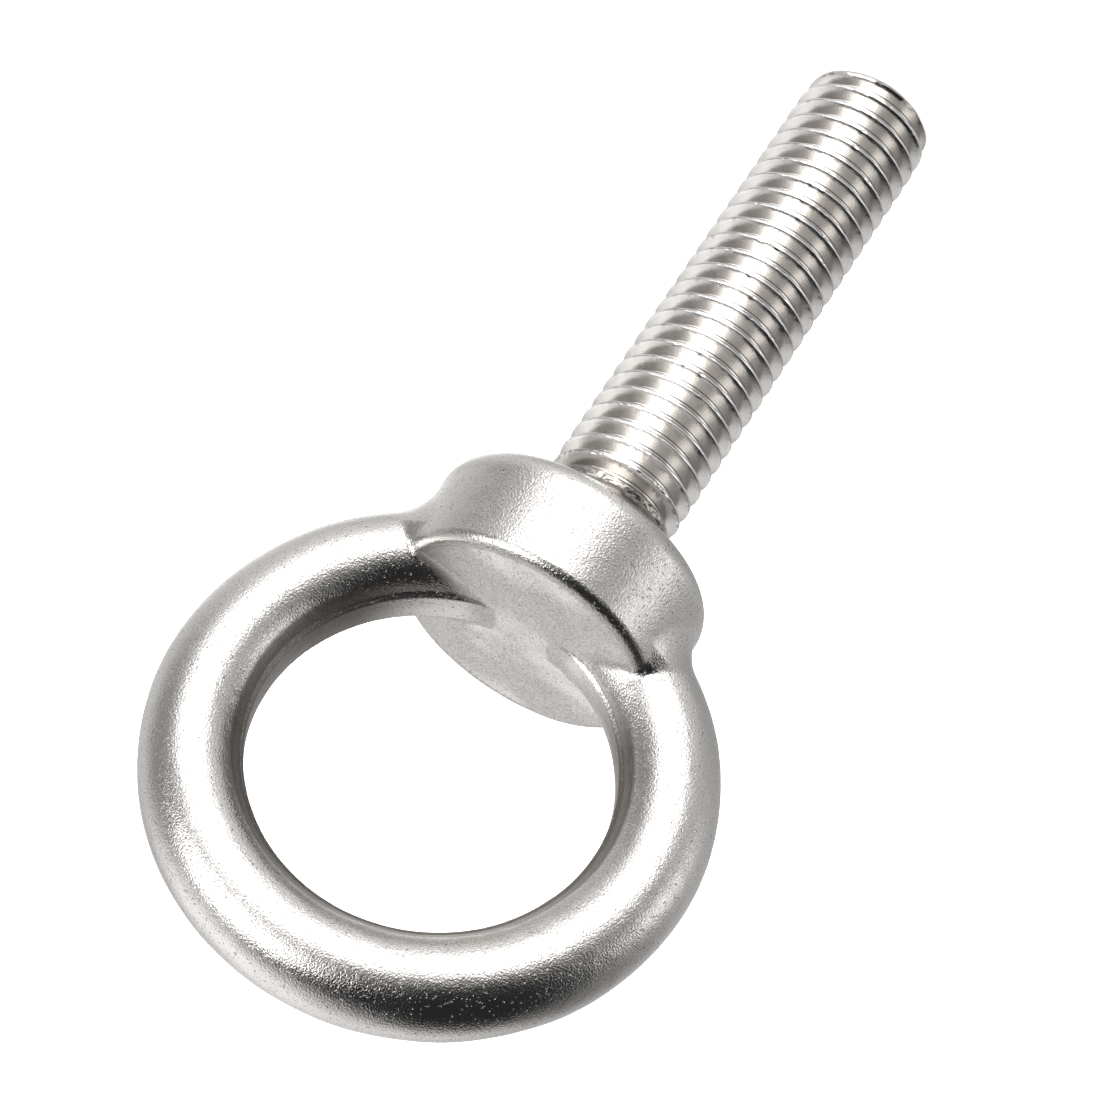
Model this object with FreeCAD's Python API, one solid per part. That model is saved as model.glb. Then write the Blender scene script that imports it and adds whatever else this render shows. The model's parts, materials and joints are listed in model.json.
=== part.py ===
"""Lifting eye bolt, M10 x 1.5, stainless steel.

Two pieces: a cast head, which is a round ring on a round collar, and a threaded stud whose
plain spigot is fixed in a blind socket in the collar.

Frame, in millimetres: the origin is the centre of the collar's seat face, on the axis of the
stud. +Z runs from the seat towards the ring and the stud hangs down -Z. The ring lies in the XZ
plane, so a shackle passes through the eye along Y.
"""

import FreeCAD, Part
import os
from math import ceil, hypot, radians, tan

# Collar
COLLAR_D = 20.9           # at the seat, before its rim is rounded
COLLAR_TAPER = 0.7        # how much less the radius is at the flat face under the eye
COLLAR_HEIGHT = 8.3       # seat face to that flat face
SEAT_RIM_ROUND = 2.0
TOP_RIM_ROUND = 0.6

# Ring
EYE_INNER_D = 24.8        # clear hole of the eye
WIRE_D = 7.0              # round section of the ring
RING_SINK = 0.3           # how far the hole of the eye dips under the flat face
RING_OVER_SEAT = 0.5      # inside the collar the ring's circle stops this far over the seat
RING_ROOT_FILLET = 1.2    # where the ring runs into the collar

# Thread
THREAD_NOMINAL_D = 10.0
THREAD_ALLOWANCE = 0.2    # the crests are this much under the nominal diameter
THREAD_PITCH = 1.5
THREAD_ANGLE = 60.0       # between the flanks, degrees

# Stud
STUD_LENGTH = 42.5        # seat face to tip
NECK_LENGTH = 1.6         # plain relief between the seat and the shoulder above the thread
NECK_OVER_ROOT = 0.15     # how far the neck stands above the thread's root, on the radius
TIP_CHAMFER = 0.6         # taken off the radius at the tip
CHAMFER_ANGLE = 45.0      # of the tip and of the shoulder, to the axis, degrees

# Joint between the pieces
SPIGOT_STEP = 0.15        # the spigot is this much smaller than the neck, on the radius
SPIGOT_DEPTH = 6.0
SOCKET_CLEARANCE = 0.0    # on the radius: the spigot is fixed in its socket and doesn't move
SOCKET_END_GAP = 0.3      # left past the end of the spigot

# How the thread is made
CREST_SECTORS = 8         # the crest of each turn is this many short faces
CREST_START = 7.0         # degrees; clear of where two stretches of the groove meet
GROOVE_STEPS = 3          # each turn of the groove is this many stretches
GROOVE_OVERSHOOT = 0.05   # how far the groove's profile stands outside the crests
JOIN_TOLERANCE = 1e-4     # two stretches of the groove meet within this

ORIGIN = FreeCAD.Vector(0, 0, 0)
Y_AXIS = FreeCAD.Vector(0, 1, 0)
Z_AXIS = FreeCAD.Vector(0, 0, 1)

flank_slope = tan(radians(THREAD_ANGLE / 2))
thread_depth = THREAD_PITCH / 2 / flank_slope * 17 / 24
crest_r = (THREAD_NOMINAL_D - THREAD_ALLOWANCE) / 2
root_r = crest_r - thread_depth
neck_r = root_r + NECK_OVER_ROOT
spigot_r = neck_r - SPIGOT_STEP
ring_r = (EYE_INNER_D + WIRE_D) / 2
eye_height = COLLAR_HEIGHT - RING_SINK + EYE_INNER_D / 2


def point(radius, z):
    """A point of a half profile, in the XZ plane."""
    return FreeCAD.Vector(radius, 0, z)


def revolved(points, start_degrees=0.0, sweep_degrees=360.0):
    """A solid of revolution about Z from the corners of its half profile."""
    face = Part.Face(Part.makePolygon(points + points[:1]))
    face.rotate(ORIGIN, Z_AXIS, start_degrees)
    return face.revolve(ORIGIN, Z_AXIS, sweep_degrees)


def lies_at(edge, z):
    """Whether the whole of an edge is at the height z."""
    box = edge.BoundBox
    return abs(box.ZMin - z) < 1e-4 and abs(box.ZMax - z) < 1e-4


def collar():
    """Flat seat with a large rounded rim, side narrowing to the flat face under the eye."""
    plain = revolved([
        point(0, 0),
        point(COLLAR_D / 2, 0),
        point(COLLAR_D / 2 - COLLAR_TAPER, COLLAR_HEIGHT),
        point(0, COLLAR_HEIGHT),
    ])
    seat_rim = [edge for edge in plain.Edges if lies_at(edge, 0)]
    top_rim = [edge for edge in plain.Edges if lies_at(edge, COLLAR_HEIGHT)]
    return plain.makeFillet(SEAT_RIM_ROUND, seat_rim).makeFillet(TOP_RIM_ROUND, top_rim)


def ring():
    """The ring, standing in the XZ plane, without any of it that would come out of the seat."""
    whole = Part.makeTorus(ring_r, WIRE_D / 2, FreeCAD.Vector(0, 0, eye_height), Y_AXIS)
    reach = ring_r + WIRE_D
    corner = FreeCAD.Vector(-reach, -reach, RING_OVER_SEAT - reach)
    return whole.cut(Part.makeBox(2 * reach, 2 * reach, reach, corner))


def off_ring(spot):
    """How far a point is from the ring's surface."""
    from_centreline = hypot(hypot(spot.x, spot.z - eye_height) - ring_r, spot.y)
    return abs(from_centreline - WIRE_D / 2)


def is_ring_root(edge):
    """Whether an edge is where the ring meets the collar, and not the ring's own seam."""
    spots = edge.discretize(9)
    in_plane = all(abs(spot.y) < 1e-4 for spot in spots)
    return not in_plane and all(off_ring(spot) < 1e-3 for spot in spots)


def socket():
    """The blind hole in the seat that takes the spigot."""
    return Part.makeCylinder(spigot_r + SOCKET_CLEARANCE, SPIGOT_DEPTH + SOCKET_END_GAP)


def eye_head():
    """Ring and collar in one casting, bored for the stud."""
    body = collar().fuse(ring())
    roots = [edge for edge in body.Edges if is_ring_root(edge)]
    return body.makeFillet(RING_ROOT_FILLET, roots).cut(socket())


def stud_sector(start_degrees, sweep_degrees):
    """A sector of the stud before threading: spigot, neck, full diameter, chamfered tip."""
    slope = tan(radians(CHAMFER_ANGLE))
    shoulder = (crest_r - neck_r) / slope
    profile = [
        point(0, SPIGOT_DEPTH),
        point(spigot_r, SPIGOT_DEPTH),
        point(spigot_r, 0),
        point(neck_r, 0),
        point(neck_r, -NECK_LENGTH),
        point(crest_r, -NECK_LENGTH - shoulder),
        point(crest_r, -STUD_LENGTH + TIP_CHAMFER / slope),
        point(crest_r - TIP_CHAMFER, -STUD_LENGTH),
        point(0, -STUD_LENGTH),
    ]
    return revolved(profile, start_degrees, sweep_degrees)


def stud_blank():
    """The stud before threading, its round faces in short sectors."""
    step = 360.0 / CREST_SECTORS
    sectors = [stud_sector(CREST_START + i * step, step) for i in range(CREST_SECTORS)]
    return sectors[0].multiFuse(sectors[1:])


def groove_stretch():
    """A stretch of the right-hand groove between the crests, starting on +X at height 0."""
    outer_r = crest_r + GROOVE_OVERSHOOT
    half_at_crest = THREAD_PITCH * 7 / 16
    half_at_root = half_at_crest - thread_depth * flank_slope
    half_outside = half_at_crest + GROOVE_OVERSHOOT * flank_slope
    corners = [
        point(root_r, -half_at_root),
        point(outer_r, -half_outside),
        point(outer_r, half_outside),
        point(root_r, half_at_root),
    ]
    path = Part.makeHelix(THREAD_PITCH, THREAD_PITCH / GROOVE_STEPS, crest_r)
    return path.makePipeShell([Part.makePolygon(corners + corners[:1])], True, True)


def threaded_stud():
    """The stud with its thread cut, from below the tip up to the middle of the neck."""
    stretch = groove_stretch()
    turn = 360.0 / GROOVE_STEPS
    rise = THREAD_PITCH / GROOVE_STEPS
    bottom = -STUD_LENGTH - THREAD_PITCH
    groove = []
    for i in range(ceil((-NECK_LENGTH / 2 - bottom) / rise)):
        turned = stretch.rotated(ORIGIN, Z_AXIS, i * turn)
        groove.append(turned.translated(FreeCAD.Vector(0, 0, bottom + i * rise)))
    return stud_blank().cut(groove, JOIN_TOLERANCE)


def write(name, shape):
    """Save a piece's one solid."""
    solids = shape.Solids
    print(name, "solids", len(solids), "valid", shape.isValid(), "volume", round(shape.Volume, 1))
    solids[0].exportStep("parts/" + name + ".step")


os.makedirs("parts", exist_ok=True)
write("eye_head", eye_head())
write("threaded_stud", threaded_stud())
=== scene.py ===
"""Looks of a stainless M10 lifting eye bolt: a cast and tumbled eye head on a bright rolled stud.

Sizes are in millimetres up to the last step, where meshes are built in metres in the frame's
axes: the origin is the centre of the collar's seat, +Z points to the ring, the eye's axis is Y.
"""

import json
import math

import bmesh
import bpy
import numpy as np
from mathutils import Matrix, Vector


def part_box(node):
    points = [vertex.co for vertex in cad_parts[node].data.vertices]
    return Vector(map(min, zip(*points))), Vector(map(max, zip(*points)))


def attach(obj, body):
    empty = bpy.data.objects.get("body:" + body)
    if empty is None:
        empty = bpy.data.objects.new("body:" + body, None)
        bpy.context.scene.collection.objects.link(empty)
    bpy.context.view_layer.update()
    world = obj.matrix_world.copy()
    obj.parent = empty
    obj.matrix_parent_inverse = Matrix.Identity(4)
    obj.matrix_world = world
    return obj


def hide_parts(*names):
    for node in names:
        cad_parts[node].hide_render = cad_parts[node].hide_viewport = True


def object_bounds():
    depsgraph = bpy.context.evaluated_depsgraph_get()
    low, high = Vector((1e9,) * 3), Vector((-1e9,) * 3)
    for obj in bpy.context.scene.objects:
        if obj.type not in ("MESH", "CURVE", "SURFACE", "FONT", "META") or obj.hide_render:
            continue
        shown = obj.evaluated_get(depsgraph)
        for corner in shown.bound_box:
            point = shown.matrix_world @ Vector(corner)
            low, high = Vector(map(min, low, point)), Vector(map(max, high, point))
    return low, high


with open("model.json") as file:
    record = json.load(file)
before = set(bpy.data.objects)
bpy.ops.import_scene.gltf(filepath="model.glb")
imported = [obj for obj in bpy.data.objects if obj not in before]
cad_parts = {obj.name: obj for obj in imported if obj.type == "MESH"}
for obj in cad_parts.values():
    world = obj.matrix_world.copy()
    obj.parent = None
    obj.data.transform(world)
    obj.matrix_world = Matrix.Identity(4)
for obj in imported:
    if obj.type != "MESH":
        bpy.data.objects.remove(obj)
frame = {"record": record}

cad_low, cad_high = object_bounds()

MM = 0.001
mounts = {mount["name"]: mount for mount in frame["record"]["mounts"]}
stud_low, stud_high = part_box("threaded_stud")
head_low, head_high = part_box("eye_head")

# Head
EYE_R = mounts["eye"]["dims"]["r_mm"]
EYE_HEIGHT = mounts["eye"]["pos_m"][2] / MM
WIRE_R = (head_high[0] / MM - EYE_R) / 2
RING_R = EYE_R + WIRE_R
COLLAR_R = 10.43            # at the seat, before its rim is rounded
COLLAR_TOP_R = 9.73         # at the flat face under the eye
COLLAR_HEIGHT = 8.3
SEAT_RIM_ROUND = 2.0
TOP_RIM_ROUND = 0.85
LIP_DEPTH = 0.05            # the flat face lies this much under the end of its rounded rim
LIP_R = 8.95
LIP_EDGE = 0.15             # width of the lip's step
SIDE_FILLET = 1.7           # ring into the side of the collar
FACE_FILLET = 0.5           # ring into the flat face
RIM_FILLET = 0.45           # ring past the rim between the two
SIDE_START = 0.3            # the side's fillet starts this far under the flat face
SIDE_BLEND = 1.4            # and is full this much lower
FACE_START = 0.2            # the face's fillet starts this far under the flat face
FACE_BLEND = 0.8            # and is full this much higher
FADE_HALF_WIDTH = 1.5       # the fillets are faintest this far each side of the middle
FADE_LENGTH = 3.0           # and full this much further out
FADE_LEAST = 0.1            # share of the radius that is left in the middle
LAND_HALF_WIDTH = 1.35      # low band left where the casting's flash was trimmed off
LAND_THICKNESS = 1.0
BAND_HALF_WIDTH = 2.5       # the trimmed band is dull this far each side of the middle
LAND_EDGE = 0.20
SOCKET_R = 3.98
SOCKET_DEPTH = 6.3
SOCKET_EDGE = 0.15
SOCKET_CLEAR = 0.5          # the casting's waviness stays this far off the socket
CAST_WAVE = 7.0             # the casting's waviness: length and depth of its waves and ripples
CAST_WAVE_DEPTH = 0.05
CAST_RIPPLE = 1.6
CAST_RIPPLE_DEPTH = 0.012
SETTLE_STEPS = 6            # moves that take the mesh's points to the surface
SEAT_FLAT = 0.3             # no waviness under this height, and all of it this much higher
SEAT_BLEND = 1.5

# Stud
CREST_R = mounts["thread"]["dims"]["r_mm"]
PITCH = 1.5
THREAD_DEPTH = 0.92
FLANK_SLOPE = math.tan(math.radians(30))
TIP_Z = stud_low[2] / MM
SPIGOT_TOP_Z = stud_high[2] / MM
NECK_OVER_ROOT = 0.15
NECK_R = CREST_R - THREAD_DEPTH + NECK_OVER_ROOT
SPIGOT_CLEARANCE = 0.01
SPIGOT_R = SOCKET_R - SPIGOT_CLEARANCE
NECK_LENGTH = 1.6
TIP_CHAMFER = 0.6
RUNOUT_R = CREST_R - 0.42   # the crests start this low under the neck and rise to full height
RUNOUT_LENGTH = 2.9
LEAD_IN = 0.22              # how much the crests fall off over the last turns before the tip
LEAD_IN_LENGTH = 3.0
ROOT_ROUND = 0.035          # how far the root's floor is rounded up at its corners
SPARE_TURNS = 4             # so that the band of thread reaches past both cut ends
CREST_DEPTH = 0.15          # wear reaches this far under the crests
NICK_DEPTH = 0.04           # nicks in the crests
TORN_DEPTH = 0.06           # raggedness of the crests by the neck
TORN_START = -7.0           # height at which it starts, and it is full TORN_BLEND higher
TORN_BLEND = 3.0
WEAR_DEPTH = 0.012          # slow unevenness along the crests

# Colours of the steel
CAST_LIGHT = (0.91, 0.885, 0.86, 1)
CAST_DARK = (0.85, 0.825, 0.80, 1)
CAST_SPECK = (0.47, 0.45, 0.43, 1)
CAST_PIT = (0.36, 0.34, 0.33, 1)
FACE_GREY = (0.60, 0.585, 0.57, 1)
BAND_DARK = (0.22, 0.20, 0.185, 1)
BAND_LIGHT = (0.42, 0.39, 0.365, 1)
CREST_BRIGHT = (0.98, 0.97, 0.955, 1)
# Flanks and roots: stains vary them between these two, and both are painted darker than the crests as
# shade in the thread's grooves.
ROOT_STAIN_AND_SHADE_DARK = (0.74, 0.705, 0.67, 1)
ROOT_STAIN_AND_SHADE_LIGHT = (0.92, 0.895, 0.87, 1)
# Painted shade under the collar's seat: the thread turns browner and darker towards the neck.
NECK_SHADE_BROWN = (0.40, 0.37, 0.34, 1)

# Sizes of the surface's features
CAST_GRAIN = 0.14
CAST_COARSE_GRAIN = 0.42
CAST_PATCH = 4.0
CAST_SPECK_SIZE = 0.12
CAST_PIT_SIZE = 0.24
CAST_BUMP = 0.040           # full height of the grain
STUD_LINE = 0.07            # width of the fine lines round the stud
STUD_STAIN = 1.2
STUD_GRAIN = 0.12
STUD_BUMP = 0.012
FACE_GREY_R = 9.12          # the flat face is duller out to here
BAND_REACH = 1.4            # the trimmed band is dull this deep into the ring from the eye

# Floor and lamp
FLOOR_HALF = 3.0            # metres from the middle to an edge
FLOOR_GAP = 0.0002          # metres under the tip
FLOOR_GLOW = 0.75
LAMP_STRENGTH = 3.4
LAMP_WIDTH = 50             # degrees across, and how far it is tipped about X and Y
LAMP_TIP = (10, 8)

# Camera, in degrees and millimetres
CAMERA_AZIMUTH = -11.26     # from straight in front; negative is towards -X
CAMERA_ELEVATION = 28.57
CAMERA_ROLL = -146.0        # about the line of sight
CAMERA_AIM = (1.82, 0.89, 0.90)
CAMERA_DISTANCE = 371.4
CAMERA_LENS = 178.66

SEED = 7


# ---------------------------------------------------------------- smooth noise on points

def waves(points, wavelength, count, seed):
    """Smooth noise between about -1 and 1: a sum of plane waves in seeded directions."""
    rng = np.random.default_rng(SEED + seed)
    directions = rng.normal(size=(count, 3))
    directions /= np.linalg.norm(directions, axis=1, keepdims=True)
    lengths = wavelength * rng.uniform(0.7, 1.5, count)
    phases = rng.uniform(0, 2 * math.pi, count)
    total = np.zeros(len(points))
    for direction, length, phase in zip(directions, lengths, phases):
        total += np.sin(points @ direction * (2 * math.pi / length) + phase)
    return total / math.sqrt(count)


# ---------------------------------------------------------------- the head's surface

def round_union(a, b, radius):
    """Distance to two shapes joined by a concave fillet."""
    reach = np.hypot(np.maximum(radius - a, 0), np.maximum(radius - b, 0))
    return np.maximum(radius, np.minimum(a, b)) - reach


def round_cut(a, b, radius):
    """Distance to what two half spaces share, with their edge rounded."""
    reach = np.hypot(np.maximum(radius + a, 0), np.maximum(radius + b, 0))
    return np.minimum(-radius, np.maximum(a, b)) + reach


def collar_distance(radial, z):
    taper = (COLLAR_R - COLLAR_TOP_R) / COLLAR_HEIGHT
    side = (radial - COLLAR_R + taper * z) / math.hypot(1, taper)
    lip = LIP_DEPTH * np.clip((LIP_R - radial) / LIP_EDGE, 0, 1)
    body = round_cut(side, z - COLLAR_HEIGHT + lip, TOP_RIM_ROUND)
    return round_cut(body, -z, SEAT_RIM_ROUND)


def ring_distance(points):
    """The ring's round section, with the trimmed land standing a little proud inside the eye."""
    from_eye = np.hypot(points[:, 0], points[:, 2] - EYE_HEIGHT)
    wire = np.hypot(from_eye - RING_R, points[:, 1]) - WIRE_R
    face = np.abs(from_eye - EYE_R - LAND_THICKNESS / 2) - LAND_THICKNESS / 2
    land = round_cut(face, np.abs(points[:, 1]) - LAND_HALF_WIDTH, LAND_EDGE)
    return round_union(wire, land, LAND_EDGE)


def root_fillet(x, z):
    """The fillet's radius: wide low on the collar's side, tight at its rim, faint mid face."""
    below = np.clip((COLLAR_HEIGHT - SIDE_START - z) / SIDE_BLEND, 0, 1)
    above = np.clip((z - COLLAR_HEIGHT + FACE_START) / FACE_BLEND, 0, 1)
    fade = np.clip((np.abs(x) - FADE_HALF_WIDTH) / FADE_LENGTH, FADE_LEAST, 1)
    side = (SIDE_FILLET - RIM_FILLET) * below
    face = (FACE_FILLET - RIM_FILLET) * above
    return fade * (RIM_FILLET + side + face)


def head_distance(points):
    radial = np.hypot(points[:, 0], points[:, 1])
    z = points[:, 2]
    body = round_union(collar_distance(radial, z), ring_distance(points), root_fillet(points[:, 0], z))
    socket = np.maximum(radial - SOCKET_R, z - SOCKET_DEPTH)
    return round_cut(body, -socket, SOCKET_EDGE)


def cast_head_distance(points):
    """The head with the slight waviness of a casting, always inside its nominal size."""
    radial = np.hypot(points[:, 0], points[:, 1])
    off_seat = np.clip((points[:, 2] - SEAT_FLAT) / SEAT_BLEND, 0, 1)
    wave = 0.5 + 0.5 * np.clip(waves(points, CAST_WAVE, count=12, seed=1), -1, 1)
    ripple = 0.5 + 0.5 * np.clip(waves(points, CAST_RIPPLE, count=16, seed=2), -1, 1)
    at_socket = (radial < SOCKET_R + SOCKET_CLEAR) & (points[:, 2] < SOCKET_DEPTH + SOCKET_CLEAR)
    depth = CAST_WAVE_DEPTH * wave + CAST_RIPPLE_DEPTH * ripple
    sink = np.where(at_socket, 0, off_seat * depth)
    return head_distance(points) + sink


def gradient(distance, points):
    """Unit vectors pointing away from a surface, measured over a short step."""
    step = 0.02
    slopes = []
    for axis in np.eye(3):
        slopes.append(distance(points + axis * step) - distance(points - axis * step))
    slope = np.stack(slopes, 1) / (2 * step)
    return slope / np.maximum(np.linalg.norm(slope, axis=1, keepdims=True), 1e-9)


def surface_net(distance, low, high, cell):
    """Quads around a distance function's zero level: one point for each cell that it crosses.

    The grid stands a cell or two outside the box from low to high.
    """
    axes = [np.arange(a - cell * 1.5, b + cell * 2.5, cell) for a, b in zip(low, high)]
    shape = [len(axis) for axis in axes]
    slabs = []
    for x in axes[0]:
        slab = np.stack(np.meshgrid([x], axes[1], axes[2], indexing="ij"), -1).reshape(-1, 3)
        slabs.append(distance(slab) < 0)
    inside = np.stack(slabs).reshape(shape)
    count = np.zeros([n - 1 for n in shape], int)
    for i in (0, 1):
        for j in (0, 1):
            for k in (0, 1):
                count += inside[i:shape[0] - 1 + i, j:shape[1] - 1 + j, k:shape[2] - 1 + k]
    crossed = (count > 0) & (count < 8)
    number = np.full(crossed.shape, -1)
    number[crossed] = np.arange(crossed.sum())
    corner = np.argwhere(crossed)
    points = np.stack([axes[a][corner[:, a]] + cell / 2 for a in range(3)], 1)
    quads = []
    for axis in range(3):
        first, second = (axis + 1) % 3, (axis + 2) % 3
        here = np.moveaxis(inside, (axis, first, second), (0, 1, 2))
        cells = np.moveaxis(number, (axis, first, second), (0, 1, 2))
        change = here[1:, 1:-1, 1:-1].astype(int) - here[:-1, 1:-1, 1:-1]
        ring = [cells[:, :-1, :-1], cells[:, 1:, :-1], cells[:, 1:, 1:], cells[:, :-1, 1:]]
        around = np.stack(ring, -1)
        quads.append(around[change < 0])
        quads.append(around[change > 0][:, ::-1])
    return points, np.concatenate(quads)


def head_mesh():
    """A net over the plain head, whose points then settle on the cast surface."""
    cell = 0.17
    low = (head_low[0] / MM, head_low[1] / MM, 0)
    high = (head_high[0] / MM, head_high[1] / MM, head_high[2] / MM)
    points, quads = surface_net(head_distance, low, high, cell)
    for _ in range(SETTLE_STEPS):
        step = cast_head_distance(points)[:, None] * gradient(cast_head_distance, points)
        points -= np.clip(step, -cell, cell)
    return points, quads, gradient(cast_head_distance, points)


# ---------------------------------------------------------------- the stud's surface

def stud_envelope(z):
    """The stud's greatest radius at a height: spigot, neck, shoulder, full thread, tip chamfer."""
    shoulder = NECK_R + np.maximum(-NECK_LENGTH - z, 0)
    start = -NECK_LENGTH - (RUNOUT_R - NECK_R)
    runout = RUNOUT_R + (CREST_R - RUNOUT_R) * np.clip((start - z) / RUNOUT_LENGTH, 0, 1)
    lead_in = LEAD_IN * np.clip((TIP_Z + LEAD_IN_LENGTH - z) / LEAD_IN_LENGTH, 0, 1) ** 2
    chamfer = CREST_R - TIP_CHAMFER + np.maximum(z - TIP_Z, 0)
    threaded = np.minimum(np.minimum(shoulder, runout - lead_in), chamfer)
    return np.minimum(threaded, np.where(z > 0, SPIGOT_R, CREST_R))


def thread_profile():
    """From the middle of a crest to the middle of a root: (share of the pitch, depth)."""
    crest_half = PITCH / 16
    root_start = crest_half + (THREAD_DEPTH - ROOT_ROUND) * FLANK_SLOPE
    samples = [(0.0, 0.0), (0.4 * crest_half, 0.0), (0.7 * crest_half, 0.001)]
    samples += [(0.9 * crest_half, 0.005), (crest_half, 0.014)]
    for share in (0.06, 0.3, 0.55, 0.8, 0.95):
        depth = share * (THREAD_DEPTH - ROOT_ROUND)
        samples.append((crest_half + depth * FLANK_SLOPE, depth))
    for share in (0.0, 0.2, 0.5, 1.0):
        along = root_start + (PITCH / 2 - root_start) * share
        samples.append((along, THREAD_DEPTH - ROOT_ROUND * (1 - share) ** 4))
    return [(along / PITCH, depth) for along, depth in samples]


def thread_samples():
    half = thread_profile()
    mirrored = [(1 - along, depth) for along, depth in reversed(half[1:-1])]
    both = half + mirrored
    return np.array([along for along, _ in both]), np.array([depth for _, depth in both])


def stud_mesh():
    """A helical band of thread profiles, long enough to reach past the tip and the spigot's end;
    cut_square later cuts it off square at both.
    """
    around = 192
    along, depth = thread_samples()
    turns = math.ceil((SPIGOT_TOP_Z - TIP_Z) / PITCH) + SPARE_TURNS
    height = np.concatenate([TIP_Z + (n - 1.5 + along) * PITCH for n in range(turns)])
    sunk = np.tile(depth, turns)
    angle = np.arange(around + 1) * 2 * math.pi / around
    z = height[None, :] + (angle / (2 * math.pi) * PITCH)[:, None]
    radius = np.minimum(np.broadcast_to(CREST_R - sunk, z.shape), stud_envelope(z))
    radius = np.where(z > -NECK_LENGTH / 2, stud_envelope(z), radius)
    spot = np.stack([np.cos(angle)[:, None] * radius, np.sin(angle)[:, None] * radius, z], -1)
    flat = spot.reshape(-1, 3)
    on_thread = np.clip((radius.ravel() - SPIGOT_R - 0.3) / 0.4, 0, 1)
    under = stud_envelope(flat[:, 2]) - radius.ravel()
    crest = on_thread * np.clip(1 - under / CREST_DEPTH, 0, 1)
    near_neck = np.clip((flat[:, 2] - TORN_START) / TORN_BLEND, 0, 1)
    torn = near_neck * np.clip(waves(flat, 0.30, count=18, seed=5), -0.3, 1.5) * TORN_DEPTH
    nicked = np.clip(waves(flat, 0.40, count=18, seed=3) - 0.4, 0, 1.5) * NICK_DEPTH
    slow = np.clip(waves(flat, 5.0, count=9, seed=4), 0, 1) * WEAR_DEPTH
    worn = np.maximum(nicked + torn, 0) + slow
    shrink = 1 - worn * crest / np.hypot(flat[:, 0], flat[:, 1])
    flat[:, 0] *= shrink
    flat[:, 1] *= shrink
    rows = z.shape[1]
    index = np.arange((around + 1) * rows).reshape(around + 1, rows)
    per_turn = len(along)
    index[around, :rows - per_turn] = index[0, per_turn:]
    quads = []
    for i in range(around):
        last = rows - 1 if i < around - 1 else rows - per_turn - 1
        a, b = index[i, :last], index[i + 1, :last]
        c, d = index[i + 1, 1:last + 1], index[i, 1:last + 1]
        quads.append(np.stack([a, b, c, d], 1))
    return flat, np.concatenate(quads)


def mesh_object(name, points, faces, normals=None):
    data = bpy.data.meshes.new(name)
    data.from_pydata((points * MM).tolist(), [], faces.tolist())
    data.update()
    data.polygons.foreach_set("use_smooth", np.ones(len(data.polygons), bool))
    if normals is not None:
        data.normals_split_custom_set_from_vertices(normals.tolist())
    piece = bpy.data.objects.new(name, data)
    bpy.context.scene.collection.objects.link(piece)
    return piece


def cut_square(piece, heights):
    """Cuts a tube off square below the first height and above the second, and caps both ends."""
    work = bmesh.new()
    work.from_mesh(piece.data)
    for height, normal in ((heights[0], (0, 0, -1)), (heights[1], (0, 0, 1))):
        everything = work.verts[:] + work.edges[:] + work.faces[:]
        made = bmesh.ops.bisect_plane(
            work, geom=everything, plane_co=(0, 0, height * MM), plane_no=normal,
            clear_outer=True, dist=1e-7,
        )
        edges = [item for item in made["geom_cut"] if isinstance(item, bmesh.types.BMEdge)]
        bmesh.ops.edgeloop_fill(work, edges=edges)
    loose = [vert for vert in work.verts if not vert.link_faces]
    bmesh.ops.delete(work, geom=loose, context="VERTS")
    bmesh.ops.recalc_face_normals(work, faces=work.faces[:])
    work.to_mesh(piece.data)
    work.free()
    piece.data.polygons.foreach_set("use_smooth", np.ones(len(piece.data.polygons), bool))
    piece.data.set_sharp_from_angle(angle=math.radians(40))


# ---------------------------------------------------------------- materials

class Nodes:
    """Short calls for building a material's or the world's node tree."""

    def __init__(self, tree):
        self.tree = tree
        tree.nodes.clear()

    def add(self, kind, inputs=None, **settings):
        node = self.tree.nodes.new(kind)
        for key, value in settings.items():
            setattr(node, key, value)
        for key, value in (inputs or {}).items():
            if isinstance(value, bpy.types.NodeSocket):
                self.tree.links.new(value, node.inputs[key])
            else:
                node.inputs[key].default_value = value
        return node

    def math(self, operation, a, b=0.0):
        return self.add("ShaderNodeMath", {0: a, 1: b}, operation=operation).outputs[0]

    def noise(self, place, scale, detail=3.0):
        inputs = {"Vector": place, "Scale": scale, "Detail": detail, "Roughness": 0.55}
        return self.add("ShaderNodeTexNoise", inputs).outputs["Fac"]

    def ramp(self, value, low, high, to_low=0.0, to_high=1.0):
        """Maps low..high smoothly to to_low..to_high, and holds the ends."""
        inputs = {"Value": value, "From Min": low, "From Max": high,
                  "To Min": to_low, "To Max": to_high}
        node = self.add("ShaderNodeMapRange", inputs, interpolation_type="SMOOTHSTEP")
        return node.outputs["Result"]

    def mix(self, share, a, b):
        """A colour between a and b."""
        node = self.add("ShaderNodeMix", data_type="RGBA")
        sockets = {"Factor_Float": share, "A_Color": a, "B_Color": b}
        for socket in node.inputs:
            if socket.identifier in sockets:
                value = sockets[socket.identifier]
                if isinstance(value, bpy.types.NodeSocket):
                    self.tree.links.new(value, socket)
                else:
                    socket.default_value = value
        return next(s for s in node.outputs if s.identifier == "Result_Color")


def per_mm(size):
    """A noise texture's scale for features of a size in millimetres."""
    return 1 / (size * MM)


def start_material(name):
    material = bpy.data.materials.new(name)
    material.use_nodes = True
    nodes = Nodes(material.node_tree)
    place = nodes.add("ShaderNodeTexCoord").outputs["Object"]
    split = nodes.add("ShaderNodeSeparateXYZ", {0: place}).outputs
    from_axis = nodes.math("SQRT", nodes.math(
        "ADD", nodes.math("POWER", split[0], 2.0), nodes.math("POWER", split[1], 2.0)))
    return material, nodes, place, split, from_axis


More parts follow.
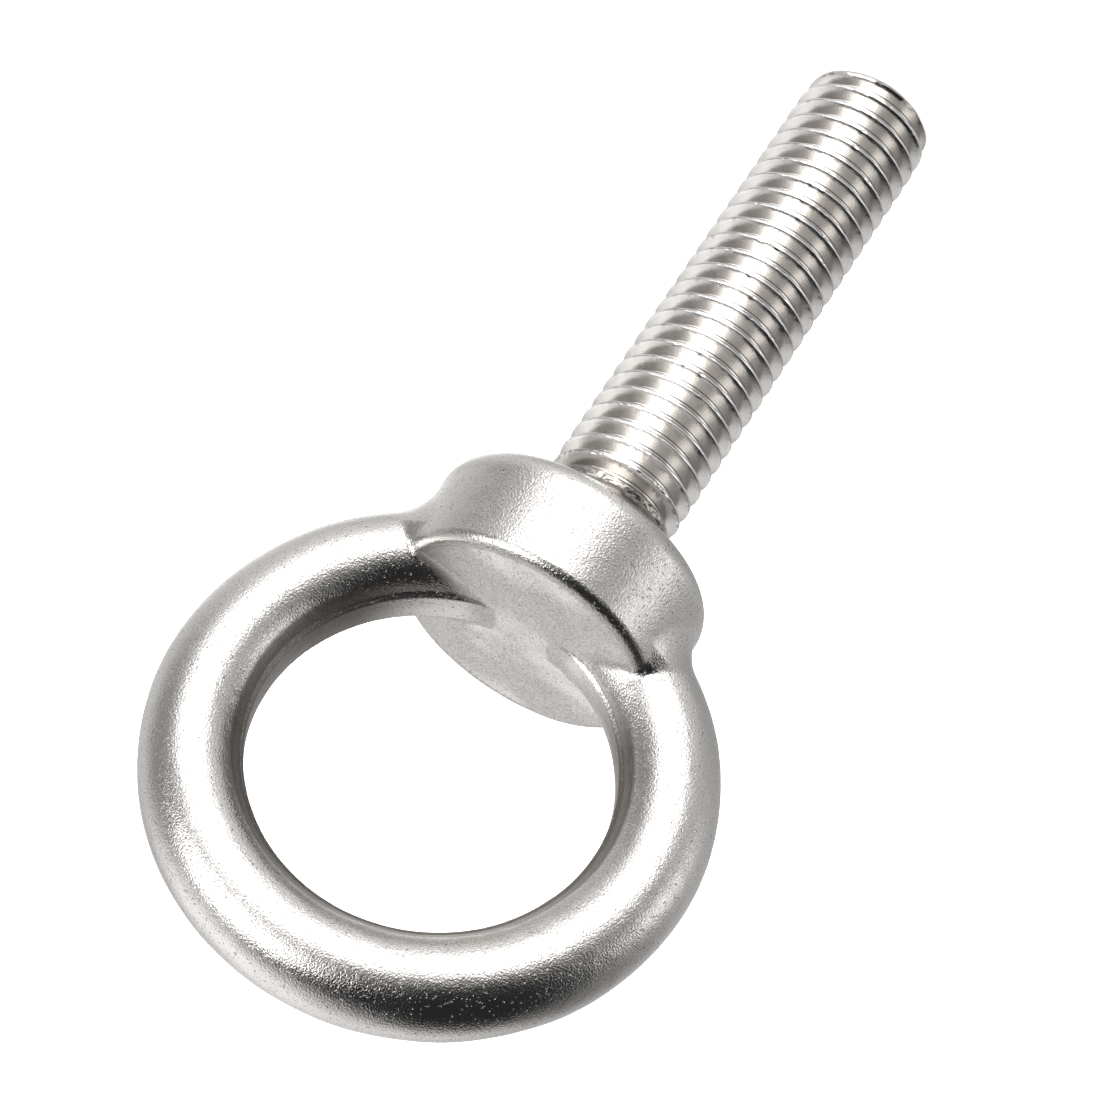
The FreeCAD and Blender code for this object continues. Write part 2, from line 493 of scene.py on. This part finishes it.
def finish_material(nodes, colour, roughness, height, depth_mm):
    bump = nodes.add("ShaderNodeBump", {"Height": height, "Strength": 1.0, "Distance": depth_mm * MM})
    shader = nodes.add("ShaderNodeBsdfPrincipled", {
        "Base Color": colour, "Roughness": roughness, "Normal": bump.outputs["Normal"],
        "Metallic": 1.0,
    })
    nodes.add("ShaderNodeOutputMaterial", {"Surface": shader.outputs["BSDF"]})


def cast_steel():
    """Tumbled casting: satin, finely grained, pitted, with a duller face and trimmed band."""
    material, nodes, place, split, from_axis = start_material("cast_stainless")
    above = nodes.ramp(split[2], (COLLAR_HEIGHT - 0.12) * MM, (COLLAR_HEIGHT - 0.06) * MM)
    within = nodes.ramp(from_axis, (FACE_GREY_R + 0.1) * MM, FACE_GREY_R * MM)
    below_ring = nodes.ramp(split[2], (COLLAR_HEIGHT + 0.5) * MM, (COLLAR_HEIGHT + 0.05) * MM)
    face = nodes.math("MULTIPLY", nodes.math("MULTIPLY", above, within), below_ring)
    off_eye = nodes.math("SUBTRACT", split[2], EYE_HEIGHT * MM)
    from_eye = nodes.math("SQRT", nodes.math(
        "ADD", nodes.math("POWER", split[0], 2.0), nodes.math("POWER", off_eye, 2.0)))
    beside = nodes.math("ABSOLUTE", split[1])
    middle = nodes.ramp(beside, BAND_HALF_WIDTH * MM, (BAND_HALF_WIDTH - 0.30) * MM)
    inner = nodes.ramp(from_eye, (EYE_R + BAND_REACH + 0.2) * MM, (EYE_R + BAND_REACH) * MM)
    clear = nodes.ramp(split[2], (COLLAR_HEIGHT + 0.8) * MM, (COLLAR_HEIGHT + 5.0) * MM)
    band = nodes.math("MULTIPLY", nodes.math("MULTIPLY", middle, inner), clear)
    grain = nodes.noise(place, per_mm(CAST_GRAIN), detail=2.0)
    coarse = nodes.noise(place, per_mm(CAST_COARSE_GRAIN), detail=1.0)
    patches = nodes.noise(place, per_mm(CAST_PATCH), detail=2.0)
    specks = nodes.noise(place, per_mm(CAST_SPECK_SIZE), detail=1.0)
    pits = nodes.ramp(nodes.noise(place, per_mm(CAST_PIT_SIZE), detail=1.0), 0.66, 0.72)
    fine = nodes.math("MULTIPLY", grain, 0.9)
    height = nodes.math("ADD", fine, nodes.math("MULTIPLY", coarse, 0.12))
    height = nodes.math("SUBTRACT", height, nodes.math("MULTIPLY", pits, 0.45))
    roughness = nodes.ramp(patches, 0.35, 0.7, 0.13, 0.19)
    roughness = nodes.math("ADD", roughness, nodes.math("MULTIPLY", face, 0.22))
    roughness = nodes.math("ADD", roughness, nodes.math("MULTIPLY", band, 0.16))
    tone = nodes.mix(patches, CAST_LIGHT, CAST_DARK)
    dark_speck = nodes.ramp(specks, 0.56, 0.72)
    face_speck = nodes.math("MULTIPLY", nodes.ramp(specks, 0.34, 0.60), face)
    shade = nodes.math("MAXIMUM", nodes.math("MULTIPLY", dark_speck, 0.55), face_speck)
    tone = nodes.mix(shade, tone, CAST_SPECK)
    tone = nodes.mix(nodes.math("MULTIPLY", pits, 0.6), tone, CAST_PIT)
    tone = nodes.mix(nodes.math("MULTIPLY", face, 0.5), tone, FACE_GREY)
    dull_band = nodes.mix(specks, BAND_DARK, BAND_LIGHT)
    tone = nodes.mix(band, tone, dull_band)
    finish_material(nodes, tone, roughness, height, CAST_BUMP)
    return material


def rolled_steel():
    """Rolled thread: bright crests; flanks and roots varied by stains, and painted darker and warmer
    as shade in the grooves; painted shade, browner, by the neck under the collar; fine lines round it.
    """
    material, nodes, place, split, from_axis = start_material("threaded_stainless")
    crest = nodes.ramp(from_axis, (CREST_R - 0.25) * MM, (CREST_R - 0.04) * MM)
    turn = nodes.math("ARCTAN2", split[1], split[0])
    wrapped = nodes.add("ShaderNodeCombineXYZ", {
        0: nodes.math("MULTIPLY", turn, 0.0012), 1: from_axis, 2: split[2]}).outputs[0]
    lines = nodes.noise(wrapped, per_mm(STUD_LINE), detail=2.0)
    stains = nodes.noise(place, per_mm(STUD_STAIN), detail=3.0)
    grain = nodes.noise(place, per_mm(STUD_GRAIN), detail=2.0)
    # Painted shade: below the crests the flanks and roots are darker and warmer than the crests, with
    # stains varying them.
    root_stain_and_shade = nodes.mix(stains, ROOT_STAIN_AND_SHADE_DARK, ROOT_STAIN_AND_SHADE_LIGHT)
    # Painted shade under the collar: browner and darker over the last few millimetres before the neck.
    near_neck = nodes.ramp(split[2], -5.0 * MM, -2.8 * MM, 0.0, 0.75)
    root_stain_and_shade = nodes.mix(near_neck, root_stain_and_shade, NECK_SHADE_BROWN)
    colour = nodes.mix(crest, root_stain_and_shade, CREST_BRIGHT)
    roughness = nodes.ramp(stains, 0.3, 0.7, 0.15, 0.22)
    height = nodes.math("ADD", nodes.math("MULTIPLY", lines, 0.5), nodes.math("MULTIPLY", grain, 0.5))
    finish_material(nodes, colour, roughness, height, STUD_BUMP)
    return material


def floor_material():
    """Matt white paper with a hardly visible tooth."""
    material = bpy.data.materials.new("paper")
    material.use_nodes = True
    nodes = Nodes(material.node_tree)
    place = nodes.add("ShaderNodeTexCoord").outputs["Object"]
    tooth = nodes.noise(place, per_mm(30.0))
    colour = nodes.mix(tooth, (0.93, 0.93, 0.93, 1), (0.95, 0.95, 0.95, 1))
    shader = nodes.add("ShaderNodeBsdfPrincipled", {
        "Base Color": colour, "Roughness": 0.9, "Emission Color": (1, 1, 1, 1),
        "Emission Strength": FLOOR_GLOW})
    nodes.add("ShaderNodeOutputMaterial", {"Surface": shader.outputs["BSDF"]})
    return material


# ---------------------------------------------------------------- studio

def direction(azimuth, elevation):
    """A unit vector: azimuth from +X towards +Y, elevation above the horizon, in degrees."""
    a, e = math.radians(azimuth), math.radians(elevation)
    return Vector((math.cos(a) * math.cos(e), math.sin(a) * math.cos(e), math.sin(e)))


def round_card(nodes, way, azimuth, elevation, radius, soft, strength):
    """A round card with a soft edge, far away in a direction."""
    towards = nodes.add("ShaderNodeVectorMath", {0: way, 1: direction(azimuth, elevation)},
                        operation="DOT_PRODUCT").outputs["Value"]
    edge = math.cos(math.radians(radius + soft))
    full = math.cos(math.radians(max(radius - soft, 0)))
    return nodes.ramp(towards, edge, full, 0.0, strength)


# The studio's grey walls, and each light or dark card on them: azimuth, elevation, radius, softness
# of its edge, and the strength that it adds or takes away.
WALLS = 0.60
CARDS = [
    (-52, 38, 20, 5, 2.6),       # round softbox beside the camera
    (-84, -25, 19, 8, 2.0),      # long softbox over the camera, as two rounds
    (-66, -12, 13, 8, 1.2),
    (-163, -20, 10, 7, 0.9),     # small box at the far side
    (75, 50, 12, 45, 0.40),      # grey card, and its lit edges
    (25, 50, 10, 20, 0.21),
    (112, 17, 6, 14, 0.27),
    (79, -14, 6, 6, 0.52),       # two spots on the backdrop, over its foot
    (65, -34, 8, 8, 0.52),
    (60, -46, 8, 18, 0.35),
    (-80, -40, 12, 46, 0.25),    # pale table
    (-60, -86, 4, 14, 0.30),
    (-136, 58, 32, 42, -0.60),   # dark room behind the camera
    (-125, -13, 20, 38, -0.27),
    (0, 58, 6, 20, -0.20),       # gaps between the cards
    (60, 8, 5, 16, -0.20),
    (-20, 5, 6, 42, -0.35),
    (150, 25, 12, 58, -0.42),
    (119, -73, 5, 52, -0.26),
]
DARKEST = 0.02


def make_world():
    world = bpy.data.worlds.new("studio")
    bpy.context.scene.world = world
    world.use_nodes = True
    nodes = Nodes(world.node_tree)
    way = nodes.add("ShaderNodeTexCoord").outputs["Generated"]
    total = WALLS
    for card in CARDS:
        total = nodes.math("ADD", round_card(nodes, way, *card), total)
    total = nodes.math("MAXIMUM", total, DARKEST)
    background = nodes.add("ShaderNodeBackground", {"Color": (1, 0.998, 0.995, 1), "Strength": total})
    nodes.add("ShaderNodeOutputWorld", {"Surface": background.outputs[0]})


def make_floor():
    """A pale floor under the tip, which the steel doesn't mirror and which casts no shadow."""
    data = bpy.data.meshes.new("floor")
    half = FLOOR_HALF
    corners = [(-half, -half, 0), (half, -half, 0), (half, half, 0), (-half, half, 0)]
    data.from_pydata(corners, [], [(0, 1, 2, 3)])
    floor = bpy.data.objects.new("floor", data)
    floor.location.z = cad_low[2] - FLOOR_GAP
    floor.data.materials.append(floor_material())
    floor.visible_glossy = False
    floor.visible_shadow = False
    bpy.context.scene.collection.objects.link(floor)


def make_lamp():
    """A broad soft sun that lights only matt surfaces, so that the floor is white."""
    lamp = bpy.data.lights.new("overhead", "SUN")
    lamp.energy = LAMP_STRENGTH
    lamp.angle = math.radians(LAMP_WIDTH)
    holder = bpy.data.objects.new("overhead", lamp)
    holder.rotation_euler = (math.radians(LAMP_TIP[0]), math.radians(LAMP_TIP[1]), 0)
    holder.visible_glossy = False
    bpy.context.scene.collection.objects.link(holder)


def make_camera():
    """A long lens looking down at the bolt from in front, turned so that the stud points up right."""
    back = direction(CAMERA_AZIMUTH - 90, CAMERA_ELEVATION)
    aim = Vector(CAMERA_AIM) * MM
    data = bpy.data.cameras.new("camera")
    data.sensor_width = 36
    data.lens = CAMERA_LENS
    data.clip_start, data.clip_end = 0.01, 20
    camera = bpy.data.objects.new("camera", data)
    upright = (-back).to_track_quat("-Z", "Y").to_matrix()
    turned = Matrix.Rotation(math.radians(CAMERA_ROLL), 3, back) @ upright
    camera.matrix_world = Matrix.Translation(aim + back * CAMERA_DISTANCE * MM) @ turned.to_4x4()
    bpy.context.scene.collection.objects.link(camera)
    bpy.context.scene.camera = camera


# ---------------------------------------------------------------- the pieces

def make_head():
    points, quads, normals = head_mesh()
    piece = mesh_object("eye_head_cast", points, quads, normals)
    piece.data.materials.append(cast_steel())
    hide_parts("eye_head")
    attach(piece, "root")


def make_stud():
    points, quads = stud_mesh()
    piece = mesh_object("threaded_stud_rolled", points, quads)
    cut_square(piece, (TIP_Z, SPIGOT_TOP_Z))
    piece.data.materials.append(rolled_steel())
    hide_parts("threaded_stud")
    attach(piece, "root")


make_camera()
make_world()
make_lamp()
make_floor()
make_head()
make_stud()
bpy.context.scene.view_settings.view_transform = "Standard"
